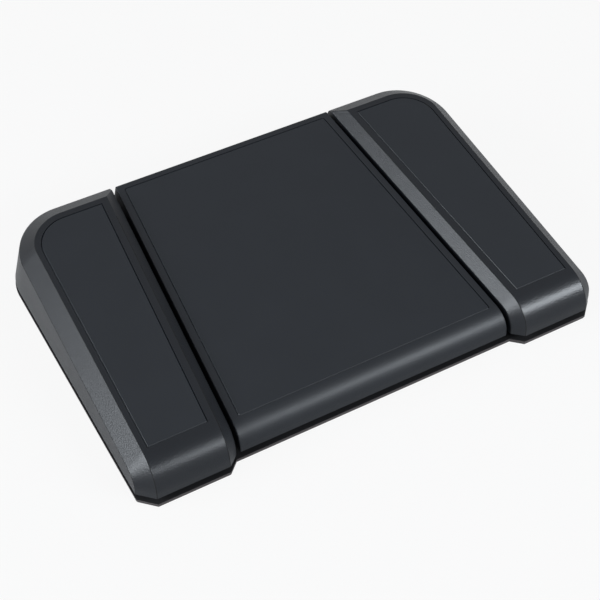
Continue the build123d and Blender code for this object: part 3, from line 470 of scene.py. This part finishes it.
# %% [markdown]
# Each tread pad is a thin moulding let into its shell, and what shows of it is the rim. A fine
# chamfer breaks the rim, catches the lamps and leaves a thin bright line. Bevelling the top face's
# border edges makes it. Its width is a guess, picked by how wide the line looks. The copy is shaded
# flat, or the chamfer's normals would bend the shading of the top.

# %% Tread pads
PAD_RIM = 0.36 * MM

for side in ("left", "centre", "right"):
    pad = merged_copy(f"{side}_tread_pad", f"{side}_pad")
    bpy.ops.object.mode_set(mode="EDIT")
    rim = pick(pad, "EDGE", lambda edge: any(face.normal.z > FACING for face in edge.link_faces)
               and any(abs(face.normal.z) < STEEP for face in edge.link_faces))
    bpy.ops.mesh.bevel(offset=PAD_RIM, segments=1, affect="EDGES")
    bpy.ops.object.mode_set(mode="OBJECT")
    if pad.data.has_custom_normals:
        bpy.ops.mesh.customdata_custom_splitnormals_clear()
    bpy.ops.object.shade_flat()
    dress(pad, "pad_plastic", f"{side}_pedal", "pad_plastic", f"{side}_tread_pad")
    print(pad.name, "rim edges", rim)

# %% [markdown]
# The mat keeps the switch from sliding under a foot, so its underside gets a grip: a field of
# diamond pockets with ribs between them, and plain rubber where a diamond would be cut off. The
# pattern is a guess, since the underside isn't known. The flat underside is bisected by two
# families of slanting planes. Edges that run neither way are dissolved, but for a strip at the
# rear, and each whole diamond is inset and pushed up into the mat.

# %% Mat with a diamond grip
GRIP_PITCH = 12 * MM
GRIP_RIB = 1.1 * MM
GRIP_DEPTH = 0.4 * MM
REAR_STRIP = 2 * GRIP_PITCH
SLANT_TOLERANCE = 0.01 * MM
AREA_TOLERANCE = 0.01


def faces_down(face):
    """Whether a face belongs to the underside."""
    return face.normal.z < -FACING


def off_the_ribs(edge):
    """Whether an edge runs along neither family of ribs."""
    run = edge.verts[0].co - edge.verts[1].co
    return abs(abs(run.x) - abs(run.y)) > SLANT_TOLERANCE


mat = merged_copy("rubber_mat", "grip_mat")
mat_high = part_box("rubber_mat")[1]
reach = hypot(mat_high.x, mat_high.y)
bpy.ops.object.mode_set(mode="EDIT")
steps = int(reach / GRIP_PITCH)
for slant in ((1, 1, 0), (1, -1, 0)):
    across_ribs = Vector(slant).normalized()
    for step in range(-steps, steps + 1):
        pick(mat, "FACE", faces_down)
        bpy.ops.mesh.bisect(plane_co=across_ribs * (step + 0.5) * GRIP_PITCH, plane_no=across_ribs)
seams = pick(mat, "EDGE", lambda edge: all(faces_down(face) for face in edge.link_faces)
             and off_the_ribs(edge)
             and max(vertex.co.y for vertex in edge.verts) < mat_high.y - REAR_STRIP)
bpy.ops.mesh.dissolve_edges(use_verts=True)
diamond = GRIP_PITCH ** 2
cells = pick(mat, "FACE", lambda face: faces_down(face) and len(face.verts) == 4
             and abs(face.calc_area() - diamond) < AREA_TOLERANCE * diamond)
bpy.ops.mesh.inset(thickness=GRIP_RIB / 2, depth=0, use_individual=True)
bpy.ops.mesh.extrude_region_move(TRANSFORM_OT_translate={"value": (0, 0, GRIP_DEPTH)})
bpy.ops.object.mode_set(mode="OBJECT")
dress(mat, "mat_rubber", "base", "mat_rubber", "rubber_mat")
print("seams", seams, "diamonds", cells, "faces", len(mat.data.polygons))

# %% [markdown]
# The socket's tongue carries two rows of metal contacts, too fine for the solid model. One contact
# is a cube drawn out to a strip with its leading edge broken, so that a plug rides up over it. The
# rest of the row are copies at the socket's half-millimetre pitch, and the row below is its mirror.

# %% Socket contacts
CONTACT_PITCH = 0.5 * MM
CONTACT_COUNT = 12
CONTACT_SIZE = (0.27 * MM, 3.8 * MM, 0.08 * MM)
CONTACT_PROUD = 0.03 * MM
CONTACT_SETBACK = 0.8 * MM


def block(name, middle, size):
    """A box of one size at one place, with its transform applied."""
    bpy.ops.object.select_all(action="DESELECT")
    bpy.ops.mesh.primitive_cube_add(size=1, location=middle)
    piece = bpy.context.object
    piece.name = name
    piece.scale = size
    bpy.ops.object.transform_apply(location=True, rotation=True, scale=True)
    return piece


def copies(piece, moves):
    """Copy a piece by each move, and join the copies to it."""
    parts = [piece]
    for move in moves:
        only(piece)
        bpy.ops.object.duplicate()
        bpy.ops.transform.translate(value=move)
        bpy.ops.object.transform_apply(location=True, rotation=False, scale=False)
        parts.append(bpy.context.object)
    only(piece)
    for part in parts:
        part.select_set(True)
    bpy.ops.object.join()


tongue_low, tongue_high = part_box("usb_socket_tongue")
row_start = -(CONTACT_COUNT - 1) / 2 * CONTACT_PITCH
contact_y = tongue_high.y - CONTACT_SETBACK - CONTACT_SIZE[1] / 2
contact_z = tongue_high.z + CONTACT_PROUD - CONTACT_SIZE[2] / 2
contacts = block("socket_contacts", (row_start, contact_y, contact_z), CONTACT_SIZE)
bpy.ops.object.mode_set(mode="EDIT")
pick(contacts, "EDGE", lambda edge: all(vertex.co.y > contact_y and vertex.co.z > contact_z
                                        for vertex in edge.verts))
bpy.ops.mesh.bevel(offset=CONTACT_PROUD, segments=2, affect="EDGES")
bpy.ops.object.mode_set(mode="OBJECT")
copies(contacts, [(n * CONTACT_PITCH, 0, 0) for n in range(1, CONTACT_COUNT)])
only(contacts)
bpy.ops.object.duplicate()
lower_row = bpy.context.object
tongue_z = (tongue_low.z + tongue_high.z) / 2
bpy.ops.transform.mirror(orient_type="GLOBAL", constraint_axis=(False, False, True),
                         center_override=(0, 0, tongue_z))
bpy.ops.object.transform_apply(location=True, rotation=True, scale=True)
bpy.ops.object.mode_set(mode="EDIT")
bpy.ops.mesh.select_all(action="SELECT")
bpy.ops.mesh.normals_make_consistent(inside=False)
bpy.ops.object.mode_set(mode="OBJECT")
only(contacts)
lower_row.select_set(True)
bpy.ops.object.join()
dress(contacts, "blade_brass", "base", "blade_brass")
print("contacts", 2 * CONTACT_COUNT, "faces", len(contacts.data.polygons))

# %% [markdown]
# A chip stands on rows of gull-wing legs: out of its side, down, and flat on the board. One leg is a
# foot that is drawn up and in towards the body by two extrusions. A row is copies of it, and each
# side of the chip is the row turned about the chip's middle.

# %% Chip legs
LEG_PITCH = 0.8 * MM
LEG_COUNT = 7
LEG_SIZE = (0.32 * MM, 0.5 * MM, 0.12 * MM)
LEG_REACH = 0.95 * MM
LEG_RISE = 0.35 * MM

chip_low, chip_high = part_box("controller_chip")
chip_middle = (chip_low + chip_high) / 2
leg_row = None
for quarter in range(4):
    foot_y = chip_low.y - LEG_REACH + LEG_SIZE[1] / 2
    foot = (chip_middle.x - (LEG_COUNT - 1) / 2 * LEG_PITCH, foot_y, chip_low.z + LEG_SIZE[2] / 2)
    row = block("chip_legs", foot, LEG_SIZE)
    bpy.ops.object.mode_set(mode="EDIT")
    pick(row, "FACE", lambda face: face.normal.y > FACING)
    bpy.ops.mesh.extrude_region_move(TRANSFORM_OT_translate={"value": (0, LEG_SIZE[2], LEG_RISE)})
    inward = LEG_REACH - LEG_SIZE[1] - LEG_SIZE[2]
    bpy.ops.mesh.extrude_region_move(TRANSFORM_OT_translate={"value": (0, inward, 0)})
    bpy.ops.object.mode_set(mode="OBJECT")
    copies(row, [(n * LEG_PITCH, 0, 0) for n in range(1, LEG_COUNT)])
    only(row)
    bpy.ops.transform.rotate(value=quarter * pi / 2, orient_axis="Z", center_override=chip_middle)
    bpy.ops.object.transform_apply(location=True, rotation=True, scale=False)
    if leg_row:
        only(leg_row)
        row.select_set(True)
        bpy.ops.object.join()
    else:
        leg_row = row
dress(leg_row, "socket_metal", "base", "socket_metal")
print("legs", 4 * LEG_COUNT, "faces", len(leg_row.data.polygons))

# %% [markdown]
# Each small part on the board is a ceramic chip with tinned ends. The ends are caps that wrap the
# body a hair proud of it, so the solder has something to hold. Their places are read from the solid
# parts, one cap at each end of every body.

# %% Tinned ends
CAP_LENGTH = 0.45 * MM
CAP_PROUD = 0.04 * MM


def loose_boxes(node):
    """Lowest and highest corner of each separate body in a node."""
    mesh = bmesh.new()
    mesh.from_mesh(nodes[node].data)
    bmesh.ops.remove_doubles(mesh, verts=mesh.verts, dist=MERGE)
    left, boxes = set(mesh.verts), []
    while left:
        reached, open_ends = set(), [min(left, key=lambda vertex: vertex.index)]
        while open_ends:
            vertex = open_ends.pop()
            if vertex not in reached:
                reached.add(vertex)
                open_ends += [edge.other_vert(vertex) for edge in vertex.link_edges]
        left -= reached
        boxes.append([Vector([end(vertex.co[i] for vertex in reached) for i in range(3)])
                      for end in (min, max)])
    mesh.free()
    return sorted(boxes, key=lambda corners: tuple(corners[0]))


bodies = loose_boxes("board_small_parts")
first_low, first_high = bodies[0]
cap_width = first_high.y - first_low.y + 2 * CAP_PROUD
cap_height = first_high.z - first_low.z + CAP_PROUD
cap_size = (CAP_LENGTH, cap_width, cap_height)
cap_middle = Vector((first_low.x - CAP_PROUD + CAP_LENGTH / 2, (first_low.y + first_high.y) / 2,
                     first_low.z + cap_height / 2))
caps = block("tinned_ends", cap_middle, cap_size)
bpy.ops.object.mode_set(mode="EDIT")
pick(caps, "EDGE", lambda edge: all(vertex.co.z > cap_middle.z for vertex in edge.verts))
bpy.ops.mesh.bevel(offset=2 * CAP_PROUD, segments=2, affect="EDGES")
bpy.ops.object.mode_set(mode="OBJECT")
span = first_high.x - first_low.x + 2 * CAP_PROUD - CAP_LENGTH
moves = [(corner.x - first_low.x + end * span, corner.y - first_low.y, 0)
         for corner, _ in bodies for end in (0, 1)]
copies(caps, moves[1:])
dress(caps, "socket_metal", "base", "socket_metal")
print("small parts", len(bodies), "caps", len(moves))
